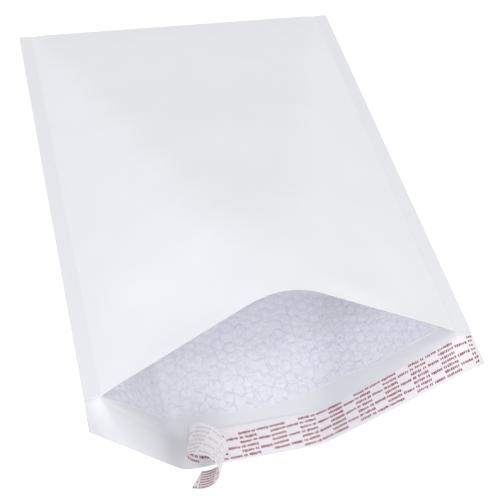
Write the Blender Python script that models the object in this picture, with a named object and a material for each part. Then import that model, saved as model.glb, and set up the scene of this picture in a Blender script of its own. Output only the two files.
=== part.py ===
# Padded envelope: a white paper mailer lined with bubble film, lying on its back
# with its mouth open toward -Y, its folded end at +Y and its self-seal flap flat.
# The paper is one sheet, folded across the far end and sealed down both sides.
# Units are metres, +Z is up, and the origin is under the middle of its box.

import math

import bmesh
import bpy
import numpy as np

# Sizes of the flat envelope
ENVELOPE_WIDTH = 0.362
BODY_LENGTH = 0.508
FLAP_LENGTH = 0.033
SEAM_WIDTH = 0.0125

# Layers of the wall
PAPER_THICKNESS = 0.0005
LAYER_GAP = 0.0003
PADDING_THICKNESS = 0.0034
POCKET_SLOT = 0.0010

# The back panel: flat in the middle, with a ramp up to each side at the mouth.
# A ramp's width runs along the sheet, from the side edge to the crease.
LEFT_RAMP_WIDTH = 0.099
RIGHT_RAMP_WIDTH = 0.1465
LEFT_LIFT = 0.070
RIGHT_LIFT = 0.0807
CREASE_ROUND_FAR = 0.002
CREASE_ROUND_NEAR = 0.009

# The front panel: a tent whose peak is at the mouth. The round of its ridge
# takes up some of each half's width, and its cut edge is a little askew.
PEAK_OFFSET = -0.0023
RIDGE_TAKE_UP = 0.0019
RIDGE_ROUND_FAR = 0.002
RIDGE_ROUND_NEAR = 0.036
FACET_ROUND_NEAR = 0.010
MOUTH_SKEW = 0.005

# The flap's cut edge bows out between the creases
LEFT_BOW = 0.0040
RIGHT_BOW = 0.0014
FLAP_UNBEND_SHARE = 0.6

# The bubble lining stops short of the mouth and of the side seams
FRONT_SETBACK = 0.012
BACK_SETBACK = 0.012
BACK_SETBACK_REACH = 0.080
LINING_SIDE_MARGIN = 0.004
LINING_EDGE_THICKNESS = 0.0008

# The adhesive and the release liner over it, by their margins on the flap
ADHESIVE_THICKNESS = 0.0003
ADHESIVE_SIDE_MARGIN = 0.003
ADHESIVE_EDGE_MARGIN = 0.0035
ADHESIVE_MOUTH_MARGIN = 0.0055
LINER_THICKNESS = 0.0003
LINER_SIDE_MARGIN = 0.0012
LINER_EDGE_MARGIN = 0.001
LINER_MOUTH_MARGIN = 0.0025

# The peeled end of the liner: where it lifts, its free length, and how it
# curls (radius) and turns (twist as a share of the curl) from end to end
LIFT_OFF_X = -0.0558
CURL_LENGTH = 0.111
CURL_RADII = (0.0154, 0.0188, 0.0169, 0.0155, 0.0280)
CURL_TWISTS = (0.0, 0.37, 0.51, 0.07, -0.14)
CURL_LEAD_IN = 0.008
CURL_STATIONS = 60

# The heat seals that join the two margins of the sheet
SEAM_SLIT = 0.0002
SEAM_CORE_OVERHANG = 0.0001
SEAM_CORE_INSET = 0.0010
SEAM_CORE_START = 0.0060
SEAM_CORE_END = 0.0020
SEAM_CORE_BITE = 0.0002

# Mesh spacing
RAMP_COLUMNS = 4
LEAST_RAMP_RUN = 0.004
MIDDLE_COLUMNS = 9
FOLD_STEPS = 6
ROW_STATIONS = (0.018, 0.04, 0.09, 0.18, 0.32, 0.48, 0.64, 0.80, 0.92, 1.0)
FLAP_STATIONS = (0.6, 0.35, 0.0)
SEAM_CORE_ROWS = 12

# Colours, as linear values, with each surface's roughness
PAPER_LOOK = ((0.82, 0.83, 0.86, 1.0), 0.65)
LINING_LOOK = ((0.62, 0.66, 0.76, 1.0), 0.35)
ADHESIVE_LOOK = ((0.78, 0.79, 0.78, 1.0), 0.25)
LINER_LOOK = ((0.80, 0.72, 0.75, 1.0), 0.50)

SHEET_LENGTH = BODY_LENGTH + FLAP_LENGTH
MOUTH = BODY_LENGTH / SHEET_LENGTH
WALL = PAPER_THICKNESS + LAYER_GAP + PADDING_THICKNESS
STACK = 2.0 * WALL + POCKET_SLOT
HALF_STACK = STACK / 2.0
HALF_SEAM = PAPER_THICKNESS + SEAM_SLIT / 2.0
LEFT, RIGHT = -1, 1
SIDES = (LEFT, RIGHT)
ADHESIVE_LINES = (FLAP_LENGTH - ADHESIVE_MOUTH_MARGIN, ADHESIVE_EDGE_MARGIN)
LINER_LINES = (FLAP_LENGTH - LINER_MOUTH_MARGIN, LINER_EDGE_MARGIN)
LINER_WIDTH = LINER_LINES[0] - LINER_LINES[1]
SIDE_LINES = tuple(sorted((0.0, LINER_SIDE_MARGIN, ADHESIVE_SIDE_MARGIN, SEAM_WIDTH)))
LINING_INSET = SEAM_WIDTH + LINING_SIDE_MARGIN
SPARE_LINES = tuple(station * FLAP_LENGTH for station in FLAP_STATIONS)
FLAP_LINES = tuple(sorted(ADHESIVE_LINES + LINER_LINES + SPARE_LINES, reverse=True))
RAMP_WIDTH = {LEFT: LEFT_RAMP_WIDTH, RIGHT: RIGHT_RAMP_WIDTH}
LIFT = {LEFT: LEFT_LIFT, RIGHT: RIGHT_LIFT}


def mix(start, end, share):
    """The value a share of the way from start to end."""
    return start + (end - start) * share


def smooth_step(share):
    """An eased share, held between 0 and 1."""
    held = np.clip(share, 0.0, 1.0)
    return held * held * (3.0 - 2.0 * held)


def smooth_min(first, second, radius):
    """The lower of two heights, with their meeting rounded off."""
    blend = np.maximum(radius - np.abs(first - second), 0.0) / radius
    return np.minimum(first, second) - blend * blend * radius / 4.0


def smooth_max(first, second, radius):
    """The higher of two heights, with their meeting rounded off."""
    return -smooth_min(-first, -second, radius)


def pulled_in(length, *runs):
    """How far a sheet's near edge draws back when it also runs these ways."""
    return length - math.sqrt(length ** 2 - sum(run ** 2 for run in runs))


def draw_in(side):
    """How far a side edge moves in at the flap, because its ramp is lifted."""
    return pulled_in(RAMP_WIDTH[side], LIFT[side])


def edge_x(side, reach):
    """A side edge. Reach is 0 at the folded end and 1 at the flap's edge."""
    return side * (ENVELOPE_WIDTH / 2.0 - draw_in(side) * reach)


def seam_line_x(side, reach):
    """The inner line of a side seam, where the two panels part."""
    return edge_x(side, reach) - side * SEAM_WIDTH


def seam_height(side, reach):
    """The mid-height of a side seam."""
    return HALF_STACK + LIFT[side] * reach


def back_slope(side):
    """The fall of the back panel's ramp from the seam to the crease."""
    fall = seam_height(side, 1.0) - HALF_SEAM
    crease = side * (ENVELOPE_WIDTH / 2.0 - RAMP_WIDTH[side])
    return fall / (side * (seam_line_x(side, 1.0) - crease))


def crease_x(side, reach):
    """The crease at the foot of a ramp."""
    near = side * (ENVELOPE_WIDTH / 2.0 - RAMP_WIDTH[side])
    far_run = (HALF_STACK - HALF_SEAM) / back_slope(side)
    far = seam_line_x(side, 0.0) - side * far_run
    return mix(far, near, reach)


def peak_height():
    """The height of the tent, from the front panel keeping its full width."""
    left = np.array([seam_line_x(LEFT, MOUTH), seam_height(LEFT, MOUTH)])
    right = np.array([seam_line_x(RIGHT, MOUTH), seam_height(RIGHT, MOUTH)])
    half_span = np.linalg.norm(right - left) / 2.0
    half_panel = ENVELOPE_WIDTH / 2.0 - SEAM_WIDTH - RIDGE_TAKE_UP
    rise = math.sqrt(half_panel ** 2 - half_span ** 2)
    tilt = (right[1] - left[1]) / (right[0] - left[0])
    middle = (left + right) / 2.0
    share = (PEAK_OFFSET - middle[0]) / half_panel
    return middle[1] + tilt * (PEAK_OFFSET - middle[0]) + rise * math.sqrt(1.0 - share ** 2)


def back_height(x, reach):
    """The underside of the back panel."""
    rounding = mix(CREASE_ROUND_FAR, CREASE_ROUND_NEAR, reach)
    body = np.zeros_like(x)
    flap = np.zeros_like(x)
    for side in SIDES:
        top = seam_height(side, reach) - HALF_SEAM
        inside = side * (seam_line_x(side, reach) - x)
        body = smooth_max(body, top - back_slope(side) * np.maximum(inside, 0.0), rounding)
        ramp = side * (edge_x(side, reach) - crease_x(side, reach))
        climb = side * (x - crease_x(side, reach)) / ramp
        flap = smooth_max(flap, top * climb, rounding)
    unbend = smooth_step((reach - MOUTH) / (1.0 - MOUTH) / FLAP_UNBEND_SHARE)
    return mix(body, flap, unbend)


def front_height(x, reach):
    """The top of the front panel."""
    peak = peak_height()
    rounding = mix(RIDGE_ROUND_FAR, RIDGE_ROUND_NEAR, reach / MOUTH)
    slopes = []
    for side in SIDES:
        foot = seam_height(side, MOUTH) + HALF_SEAM
        rise = (peak - foot) / (side * (seam_line_x(side, MOUTH) - PEAK_OFFSET))
        inside = side * (seam_line_x(side, reach) - x)
        slopes.append(seam_height(side, reach) + HALF_SEAM + rise * np.maximum(inside, 0.0))
    tent = smooth_min(slopes[0], slopes[1], rounding)
    middle = mix(STACK, peak, reach / MOUTH)
    return smooth_min(tent, middle, mix(RIDGE_ROUND_FAR, FACET_ROUND_NEAR, reach / MOUTH))


def column_tables():
    """The x of each column at the folded end, at the flap's edge and at the mouth."""
    tables = []
    for reach, panel in ((0.0, "back"), (1.0, "back"), (MOUTH, "front")):
        edge = {side: edge_x(side, reach) for side in SIDES}
        line = {side: edge[side] - side * LINING_INSET for side in SIDES}
        foot = {}
        for side in SIDES:
            ramp = max(side * (line[side] - crease_x(side, reach)), LEAST_RAMP_RUN)
            foot[side] = line[side] - side * ramp
        if panel == "front":
            share = RAMP_COLUMNS / (2.0 * RAMP_COLUMNS + MIDDLE_COLUMNS)
            foot = {side: mix(line[side], line[-side], share) for side in SIDES}
        tables.append(np.concatenate([
            [edge[LEFT] + inset for inset in SIDE_LINES],
            np.linspace(line[LEFT], foot[LEFT], RAMP_COLUMNS + 1),
            np.linspace(foot[LEFT], foot[RIGHT], MIDDLE_COLUMNS + 1)[1:],
            np.linspace(foot[RIGHT], line[RIGHT], RAMP_COLUMNS + 1)[1:],
            [edge[RIGHT] - inset for inset in reversed(SIDE_LINES)],
        ]))
    return tables


def flap_edge_y(x):
    """The flap's cut edge, seen from above."""
    corner = {side: pulled_in(SHEET_LENGTH, LIFT[side], draw_in(side)) for side in SIDES}
    stations = [edge_x(LEFT, 1.0), crease_x(LEFT, 1.0), crease_x(RIGHT, 1.0), edge_x(RIGHT, 1.0)]
    return np.interp(x, stations, [corner[LEFT], -LEFT_BOW, -RIGHT_BOW, corner[RIGHT]])


def mouth_edge_y(x):
    """The front panel's cut edge, seen from above."""
    peak_y = FLAP_LENGTH + pulled_in(BODY_LENGTH, peak_height() - STACK)
    lean = pulled_in(BODY_LENGTH, peak_height() - STACK) / peak_height()
    lines = []
    for side in SIDES:
        corner_x = edge_x(side, MOUTH)
        corner_y = FLAP_LENGTH + pulled_in(BODY_LENGTH, LIFT[side] * MOUTH, draw_in(side) * MOUTH)
        lines.append(corner_y + (peak_y - corner_y) * (x - corner_x) / (PEAK_OFFSET - corner_x))
    return smooth_min(lines[0], lines[1], RIDGE_ROUND_NEAR * lean)


def front_reach(near_x, station):
    """The reach of a front row's points, longer toward the left corner."""
    askew = (PEAK_OFFSET - near_x) / (PEAK_OFFSET - edge_x(LEFT, MOUTH))
    return MOUTH * station * (1.0 + MOUTH_SKEW / BODY_LENGTH * np.clip(askew, 0.0, 1.0))


def back_row(fold_x, near_x, reach):
    """One row of points across the underside of the back panel."""
    x = mix(fold_x, near_x, reach)
    y = mix(SHEET_LENGTH, flap_edge_y(near_x), reach)
    return np.stack([x, y, back_height(x, reach)], axis=-1)


def front_row(fold_x, near_x, reach):
    """One row of points across the top of the front panel."""
    share = reach / MOUTH
    x = mix(fold_x, near_x, share)
    y = mix(SHEET_LENGTH, mouth_edge_y(near_x), share)
    return np.stack([x, y, front_height(x, reach)], axis=-1)


def fold_rows(fold_x):
    """The round of the folded end, from the front panel over to the back."""
    top = front_height(fold_x, 0.0)
    bottom = back_height(fold_x, 0.0)
    radius = (top - bottom) / 2.0
    rows = []
    for step in range(FOLD_STEPS + 1):
        angle = math.pi * (0.5 - step / FOLD_STEPS)
        y = SHEET_LENGTH - radius + radius * math.cos(angle)
        z = (top + bottom) / 2.0 + radius * math.sin(angle)
        rows.append(np.stack([fold_x, y, z], axis=-1))
    return rows


def paper_sheet():
    """Outer points of the sheet, from the mouth over the fold to the flap's edge."""
    fold_x, back_x, front_x = column_tables()
    rows = [
        front_row(fold_x, front_x, front_reach(front_x, station))
        for station in reversed(ROW_STATIONS)
    ]
    rows += fold_rows(fold_x)
    rows += [back_row(fold_x, back_x, MOUTH * station) for station in ROW_STATIONS]
    rows += [back_row(fold_x, back_x, 1.0 - line / SHEET_LENGTH) for line in FLAP_LINES]
    return np.array(rows)


def inward_normals(grid):
    """Unit normals of a grid of points, toward the inside of the envelope."""
    normals = np.cross(np.gradient(grid, axis=0), np.gradient(grid, axis=1))
    normals /= np.linalg.norm(normals, axis=-1, keepdims=True)
    return normals


def lining_thickness(grid, normals):
    """The lining's thickness, thinner where the two panels close on each other."""
    x = grid[..., 0]
    reach = (SHEET_LENGTH - grid[..., 1]) / SHEET_LENGTH
    room = (front_height(x, reach) - back_height(x, reach)) / 2.0
    steepness = np.maximum(np.abs(normals[..., 2]), 0.5)
    spare = room * steepness - PAPER_THICKNESS - LAYER_GAP - POCKET_SLOT / 2.0
    at_fold = len(ROW_STATIONS)
    for row in range(at_fold, at_fold + FOLD_STEPS + 1):
        spare[row] = spare[at_fold]
    return np.clip(spare, LINING_EDGE_THICKNESS, PADDING_THICKNESS)


def make_material(name, look):
    """A plain surface of one colour and roughness."""
    colour, roughness = look
    material = bpy.data.materials.new(name)
    material.use_nodes = True
    shader = material.node_tree.nodes["Principled BSDF"]
    shader.inputs["Base Color"].default_value = colour
    shader.inputs["Roughness"].default_value = roughness
    shader.inputs["Metallic"].default_value = 0.0
    return material


def layer_solid(name, outer, inner):
    """A closed solid between two grids of points of the same shape."""
    mesh_builder = bmesh.new()
    layers = []
    for grid in (outer, inner):
        layers.append([[mesh_builder.verts.new(point) for point in row] for row in grid])
    rows, columns = outer.shape[0], outer.shape[1]
    for layer in layers:
        for row in range(rows - 1):
            for column in range(columns - 1):
                near_left = layer[row][column]
                near_right = layer[row][column + 1]
                far_left = layer[row + 1][column]
                far_right = layer[row + 1][column + 1]
                mesh_builder.faces.new((near_left, near_right, far_right))
                mesh_builder.faces.new((near_left, far_right, far_left))
    rim = [(0, column) for column in range(columns)]
    rim += [(row, columns - 1) for row in range(1, rows)]
    rim += [(rows - 1, column) for column in range(columns - 2, -1, -1)]
    rim += [(row, 0) for row in range(rows - 2, 0, -1)]
    for place, (row, column) in enumerate(rim):
        next_row, next_column = rim[(place + 1) % len(rim)]
        mesh_builder.faces.new((
            layers[0][row][column],
            layers[0][next_row][next_column],
            layers[1][next_row][next_column],
            layers[1][row][column],
        ))
    bmesh.ops.recalc_face_normals(mesh_builder, faces=mesh_builder.faces)
    mesh = bpy.data.meshes.new(name)
    mesh_builder.to_mesh(mesh)
    mesh_builder.free()
    mesh.shade_smooth()
    mesh.set_sharp_from_angle(angle=math.radians(35.0))
    solid = bpy.data.objects.new(name, mesh)
    bpy.context.scene.collection.objects.link(solid)
    return solid


def make_seam_core(side):
    """The fused core between the two margins of the sheet at one side."""
    fold_x, back_x, _ = column_tables()
    column = 0 if side == LEFT else -1
    top_rows = []
    bottom_rows = []
    first = SEAM_CORE_START / BODY_LENGTH
    last = 1.0 - SEAM_CORE_END / BODY_LENGTH
    half = SEAM_SLIT / 2.0 + SEAM_CORE_BITE
    for share in np.linspace(first, last, SEAM_CORE_ROWS):
        reach = MOUTH * share
        y = back_row(fold_x, back_x, reach)[column][1]
        outside = edge_x(side, reach) + side * SEAM_CORE_OVERHANG
        inside = seam_line_x(side, reach) + side * SEAM_CORE_INSET
        level = seam_height(side, reach)
        top_rows.append([(outside, y, level + half), (inside, y, level + half)])
        bottom_rows.append([(outside, y, level - half), (inside, y, level - half)])
    name = "seam_core_left" if side == LEFT else "seam_core_right"
    core = layer_solid(name, np.array(top_rows), np.array(bottom_rows))
    core.hide_render = True
    core.display_type = "WIRE"
    return core


def make_outer_envelope():
    """The paper: both panels, the folded end, the side seams and the flap."""
    outer = paper_sheet()
    inner = outer + inward_normals(outer) * PAPER_THICKNESS
    envelope = layer_solid("outer_envelope", outer, inner)
    cores = [make_seam_core(side) for side in SIDES]
    for core in cores:
        union = envelope.modifiers.new(core.name, "BOOLEAN")
        union.operation = "UNION"
        union.solver = "EXACT"
        union.object = core
    return [envelope] + cores


def make_bubble_lining():
    """The bubble-film web, folded across the far end inside the paper."""
    sheet = paper_sheet()
    normals = inward_normals(sheet)
    thickness = lining_thickness(sheet, normals)[..., None]
    outer = sheet + normals * (PAPER_THICKNESS + LAYER_GAP)
    inner = outer + normals * thickness
    side = len(SIDE_LINES)
    rows = 2 * len(ROW_STATIONS) + FOLD_STEPS + 1
    last_step = BODY_LENGTH * (ROW_STATIONS[-1] - ROW_STATIONS[-2])
    faces = []
    for face in (outer, inner):
        web = face[:rows, side:-side].copy()
        near_x = web[-1, :, 0]
        along = smooth_step((near_x - near_x[0]) / BACK_SETBACK_REACH)
        back_share = (BACK_SETBACK * along / last_step)[:, None]
        web[-1] = mix(web[-1], web[-2], back_share)
        web[0] = mix(web[0], web[1], FRONT_SETBACK / last_step)
        faces.append(web)
    return layer_solid("bubble_lining", *faces)


def flap_strip(lines, side_margin, height):
    """Points at a height over the flap, between two lines along its cut edge."""
    sheet = paper_sheet()
    raised = sheet + inward_normals(sheet) * height
    first = len(FLAP_LINES) - FLAP_LINES.index(lines[0])
    last = len(FLAP_LINES) - FLAP_LINES.index(lines[1])
    side = SIDE_LINES.index(side_margin)
    return raised[len(raised) - first:len(raised) - last + 1, side:raised.shape[1] - side]


def make_adhesive_strip():
    """The band of pressure-sensitive glue along the flap."""
    height = PAPER_THICKNESS + LAYER_GAP
    bottom = flap_strip(ADHESIVE_LINES, ADHESIVE_SIDE_MARGIN, height)
    top = flap_strip(ADHESIVE_LINES, ADHESIVE_SIDE_MARGIN, height + ADHESIVE_THICKNESS)
    return layer_solid("adhesive_strip", bottom, top)


def curl_frames(start):
    """The peeled end's middle line with its width and normal directions."""
    step = CURL_LENGTH / CURL_STATIONS
    knots = np.linspace(0.0, CURL_LENGTH, len(CURL_RADII))
    ahead = np.array([-1.0, 0.0, 0.0])
    normal = np.array([0.0, 0.0, 1.0])
    across = np.array([0.0, -1.0, 0.0])
    point = np.array(start)
    frames = [(point, across, normal)]
    for station in range(CURL_STATIONS):
        place = (station + 0.5) * step
        bend = min(place / CURL_LEAD_IN, 1.0) * np.interp(place, knots, 1.0 / np.array(CURL_RADII))
        twist = bend * np.interp(place, knots, CURL_TWISTS)
        turned = ahead + step * bend * normal
        middle = (ahead + turned) / 2.0
        point = point + step * middle / np.linalg.norm(middle)
        normal = normal + step * (twist * across - bend * ahead)
        ahead = turned / np.linalg.norm(turned)
        normal -= ahead * normal.dot(ahead)
        normal /= np.linalg.norm(normal)
        across = np.cross(normal, ahead)
        frames.append((point, across, normal))
    return frames


def make_release_liner():
    """The printed liner: stuck down along the flap, then peeled into a curl."""
    height = PAPER_THICKNESS + ADHESIVE_THICKNESS + 2.0 * LAYER_GAP
    lower = flap_strip(LINER_LINES, LINER_SIDE_MARGIN, height)
    upper = flap_strip(LINER_LINES, LINER_SIDE_MARGIN, height + LINER_THICKNESS)
    near_edge = lower[-1]
    stuck = near_edge[:, 0] > LIFT_OFF_X + CURL_LEAD_IN
    edge_y = np.interp(LIFT_OFF_X, near_edge[:, 0], near_edge[:, 1])
    start = (LIFT_OFF_X, edge_y + LINER_WIDTH / 2.0, height + LINER_THICKNESS / 2.0)
    frames = curl_frames(start)[::-1]
    lines = [line for line in FLAP_LINES if LINER_LINES[0] >= line >= LINER_LINES[1]]
    lower_rows = []
    upper_rows = []
    for row, line in enumerate(lines):
        offset = LINER_WIDTH / 2.0 - (line - LINER_EDGE_MARGIN)
        middle = [point + across * offset for point, across, _ in frames]
        half = [normal * LINER_THICKNESS / 2.0 for _, _, normal in frames]
        lower_rows.append(np.concatenate([np.subtract(middle, half), lower[row, stuck]]))
        upper_rows.append(np.concatenate([np.add(middle, half), upper[row, stuck]]))
    return layer_solid("release_liner", np.array(lower_rows), np.array(upper_rows))


def box_of(objects):
    """The lowest and highest corners of a list of unplaced objects."""
    points = np.concatenate([[vertex.co[:] for vertex in thing.data.vertices] for thing in objects])
    return points.min(axis=0), points.max(axis=0)


def build():
    """Make every piece, then stand the model with its origin under its box."""
    for thing in list(bpy.data.objects):
        bpy.data.objects.remove(thing, do_unlink=True)
    envelope_and_cores = make_outer_envelope()
    pieces = [envelope_and_cores[0], make_bubble_lining(), make_adhesive_strip(), make_release_liner()]
    looks = (PAPER_LOOK, LINING_LOOK, ADHESIVE_LOOK, LINER_LOOK)
    for piece, look in zip(pieces, looks):
        piece.data.materials.append(make_material(piece.name, look))
    low, high = box_of(pieces + envelope_and_cores[1:])
    origin = bpy.data.objects.new("origin", None)
    bpy.context.scene.collection.objects.link(origin)
    origin.location = (-(low[0] + high[0]) / 2.0, -(low[1] + high[1]) / 2.0, -low[2])
    for thing in pieces + envelope_and_cores[1:]:
        thing.parent = origin


build()
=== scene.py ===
import math

import bpy
import numpy as np
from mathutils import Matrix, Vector


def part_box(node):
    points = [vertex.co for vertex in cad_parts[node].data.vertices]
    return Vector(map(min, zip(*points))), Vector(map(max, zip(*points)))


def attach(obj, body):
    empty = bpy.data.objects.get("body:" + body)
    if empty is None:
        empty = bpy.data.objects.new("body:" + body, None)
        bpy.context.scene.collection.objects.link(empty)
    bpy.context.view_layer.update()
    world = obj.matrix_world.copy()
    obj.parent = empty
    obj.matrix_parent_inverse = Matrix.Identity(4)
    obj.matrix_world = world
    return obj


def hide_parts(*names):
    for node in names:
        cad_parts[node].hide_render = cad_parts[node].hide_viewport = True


# A white paper mailer lined with bubble film, lying on its back with its mouth open.
# Lengths are metres. The sheet's own y runs from 0 at the flap's cut edge to
# SHEET_LENGTH at the folded end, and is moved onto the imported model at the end.

# Sizes of the flat envelope
ENVELOPE_WIDTH = 0.362
BODY_LENGTH = 0.508
FLAP_LENGTH = 0.033
SEAM_WIDTH = 0.0125

# Layers of the wall. The film's outer face is a step inside the paper's.
PAPER_THICKNESS = 0.0004
LAYER_STEP = 0.0006
PADDING_THICKNESS = 0.0034
WALL = 0.0042
POCKET_SLOT = 0.0010
SEAM_SLIT = 0.0002
SEAM_LAYER = 0.0005

# The back panel's ramps and the front panel's tent
LEFT_RAMP_WIDTH = 0.099
RIGHT_RAMP_WIDTH = 0.1465
LEFT_LIFT = 0.070
RIGHT_LIFT = 0.0807
CREASE_ROUND_FAR = 0.004
CREASE_ROUND_NEAR = 0.009
SEAM_ROUND_MOUTH = 0.0002
SEAM_ROUND_FLAP = 0.018
PEAK_OFFSET = -0.0023
RIDGE_TAKE_UP = 0.0019
RIDGE_ROUND_FAR = 0.004
RIDGE_ROUND_NEAR = 0.036
FACET_ROUND_NEAR = 0.012
MOUTH_SKEW = 0.005
LEFT_BOW = 0.0040
RIGHT_BOW = 0.0014
FOLD_TAKE_UP = 0.0045

# Slow unevenness and swelling of the padded front panel, and how far inside its edges they
# are full. The shares are of the sheet's length.
WAVE_HEIGHT = 0.0011
WAVE_SIZE = 0.085
RIPPLE_HEIGHT = 0.0005
RIPPLE_SIZE = 0.038
WAVE_SIDE_REACH = 0.020
WAVE_FAR_SHARE = 0.08
WAVE_MOUTH_SHARE = 0.03
PILLOW_HEIGHT = 0.0048
PILLOW_SIDE_REACH = 0.055
PILLOW_FAR_REACH = 0.045
PILLOW_MOUTH_SHARE = 0.25

# The flap's strips, by their margins
ADHESIVE_LIFT = 0.00006
ADHESIVE_THICKNESS = 0.00012
ADHESIVE_EDGE_THICKNESS = 0.00003
ADHESIVE_SIDE_MARGIN = 0.003
ADHESIVE_EDGE_MARGIN = 0.0035
ADHESIVE_MOUTH_MARGIN = 0.0055
LINER_LIFT = 0.00005
LINER_THICKNESS = 0.00014
LINER_SIDE_MARGIN = 0.0012
LINER_EDGE_MARGIN = 0.001
LINER_MOUTH_MARGIN = 0.0025
LIFT_OFF_X = -0.0558
LINER_SCATTER = 0.0004

# The liner's peeled end: its radius and its twist at even places along the curl
CURL_LENGTH = 0.111
CURL_RADII = (0.0154, 0.0188, 0.0169, 0.0155, 0.0280)
CURL_TWISTS = (0.0, 0.37, 0.51, 0.07, -0.14)
CURL_LEAD_IN = 0.008
TORN_SLANT = 0.0040

# Print on the liner: rows of word-like bars, each a run of small blocks
PRINT_ROWS = 7
ROW_PITCH = 0.0040
BLOCK_HEIGHT = 0.00225
BLOCK_ADVANCE = 0.00164
BLOCK_WIDTH = 0.00118
BLOCK_WIDTH_SPREAD = (0.70, 1.20)
BLOCK_HEIGHT_SPREAD = (0.72, 1.08)
BLOCK_SHIFT_SPREAD = (-0.10, 0.10)
WORD_GAP = 0.8
PHRASE_WORDS = (6, 2, 6, 8)
PHRASE_PERIOD = 0.0518
PHRASE_START_X = -0.0327
EVEN_ROW_SHIFT = 0.0266
PRINT_LIFT = 0.00006
PRINT_END_MARGIN = 0.0004

# The rows sag toward the flap's edge before the curl: how far, and where along the liner
ROW_SAG = 0.0050
ROW_SAG_RISE = (0.060, 0.125)
ROW_SAG_FALL = (0.145, 0.232)

# Bubble film. Its near edge wanders: how far it is set back at places along the mouth
LINING_INSET = SEAM_WIDTH + 0.004
BUBBLE_PITCH = 0.0104
BUBBLE_RADIUS = 0.0050
BUBBLE_WALL = 0.0018
BUBBLE_RELIEF = 0.00022
BUBBLE_WARP = 0.0007
BUBBLE_WARP_SIZES = (0.011, 0.013)
BUBBLE_JITTER = 0.20
BUBBLE_RADIUS_SPREAD = (0.94, 1.04)
BUBBLE_SHOULDER = 0.82
LEAST_FULLNESS = 0.66
FRONT_SETBACK = 0.012
BACK_EDGE_PLACES = (0.022, 0.058, 0.078, 0.106, 0.147, 0.185, 0.224, 0.251, 0.273, 0.336)
BACK_EDGE_SETBACKS = (0.0, 0.008, 0.011, 0.014, 0.010, 0.010, 0.018, 0.018, 0.013, 0.013)
BACK_EDGE_SOFTNESS = 0.008
BACK_EDGE_SAMPLES = 9
FINE_DEPTH = 0.150
RIM_TAPER = 0.0600
RIM_BORDER = 0.0030
LEAST_LINING = 0.0002
LEAST_LEVELNESS = 0.5

# Painted shade on the paper and the film: where the seams' painted shade and the film's painted crinkle
# shade fade
SEAM_FADE = 0.025
FACE_SEAM_BLEND = 0.002
CUT_EDGE_SEAM_BLEND = 0.020
LINES_FAINT_DEPTH = 0.130
LINES_FULL_DEPTH = 0.040

# Rows and columns of the meshes
PAPER_COLUMNS = 168
SEAM_COLUMNS = 6
FRONT_ROWS = 106
BACK_ROWS = 90
FLAP_ROWS = 19
FOLD_STEPS = 8
BACK_FILM_ROWS, BACK_FILM_COLUMNS = 150, 300
FRONT_FILM_ROWS, FRONT_FILM_COLUMNS = 120, 240
DEEP_FILM_ROWS, DEEP_FILM_COLUMNS = 150, 138
ADHESIVE_ROWS, ADHESIVE_COLUMNS = 16, 220
LINER_ROWS, LINER_COLUMNS = 45, 420
CURL_STATIONS = 60
SHARP_ANGLE = math.radians(50.0)

SHEET_LENGTH = BODY_LENGTH + FLAP_LENGTH
MOUTH = BODY_LENGTH / SHEET_LENGTH
STACK = 2.0 * WALL + POCKET_SLOT
HALF_STACK = STACK / 2.0
HALF_SEAM = SEAM_LAYER + SEAM_SLIT / 2.0
LEFT, RIGHT = -1, 1
SIDES = (LEFT, RIGHT)
RAMP_WIDTH = {LEFT: LEFT_RAMP_WIDTH, RIGHT: RIGHT_RAMP_WIDTH}
LIFT = {LEFT: LEFT_LIFT, RIGHT: RIGHT_LIFT}
LINER_WIDTH = FLAP_LENGTH - LINER_MOUTH_MARGIN - LINER_EDGE_MARGIN

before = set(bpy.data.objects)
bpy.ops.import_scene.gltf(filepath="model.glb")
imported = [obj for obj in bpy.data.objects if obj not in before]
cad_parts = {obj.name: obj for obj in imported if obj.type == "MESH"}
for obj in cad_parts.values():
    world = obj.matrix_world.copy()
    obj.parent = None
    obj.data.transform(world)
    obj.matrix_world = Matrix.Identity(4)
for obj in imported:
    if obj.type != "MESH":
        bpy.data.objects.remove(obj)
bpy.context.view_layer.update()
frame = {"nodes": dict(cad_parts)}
SHIFT = np.array([0.0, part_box("outer_envelope")[1].y - SHEET_LENGTH, 0.0])


# Number helpers

def mix(start, end, share):
    """The value a share of the way from start to end."""
    return start + (end - start) * share


def smooth_step(share):
    """An eased share, held between 0 and 1."""
    held = np.clip(share, 0.0, 1.0)
    return held * held * (3.0 - 2.0 * held)


def smooth_min(first, second, radius):
    """The lower of two heights, with their meeting rounded off."""
    blend = np.maximum(radius - np.abs(first - second), 0.0) / radius
    return np.minimum(first, second) - blend * blend * radius / 4.0


def smooth_max(first, second, radius):
    """The higher of two heights, with their meeting rounded off."""
    return -smooth_min(-first, -second, radius)


def pulled_in(length, *runs):
    """How far a sheet's near edge draws back when it also runs these ways."""
    return length - math.sqrt(length ** 2 - sum(run ** 2 for run in runs))


# Large uneven factors, so that neighbouring cells get unlike values
HASH_STEPS = (127.1, 311.7, 74.7)
HASH_SCALE = 43758.5453


def hash_share(i, j, seed):
    """A repeatable value from 0 to 1 for each cell of a lattice."""
    value = np.sin(i * HASH_STEPS[0] + j * HASH_STEPS[1] + seed * HASH_STEPS[2]) * HASH_SCALE
    return value - np.floor(value)


def value_noise(u, v, size, seed):
    """Smooth noise from -1 to 1 with features of a size."""
    i, j = np.floor(u / size), np.floor(v / size)
    across, along = smooth_step(u / size - i), smooth_step(v / size - j)
    near = mix(hash_share(i, j, seed), hash_share(i + 1, j, seed), across)
    far = mix(hash_share(i, j + 1, seed), hash_share(i + 1, j + 1, seed), across)
    return 2.0 * mix(near, far, along) - 1.0


# The sheet's shape. Reach is 0 at the folded end, MOUTH at the mouth and 1 at the flap's edge.

def draw_in(side):
    """How far a side edge moves in at the flap, because its ramp is lifted."""
    return pulled_in(RAMP_WIDTH[side], LIFT[side])


def edge_x(side, reach):
    """A side edge."""
    return side * (ENVELOPE_WIDTH / 2.0 - draw_in(side) * reach)


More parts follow.
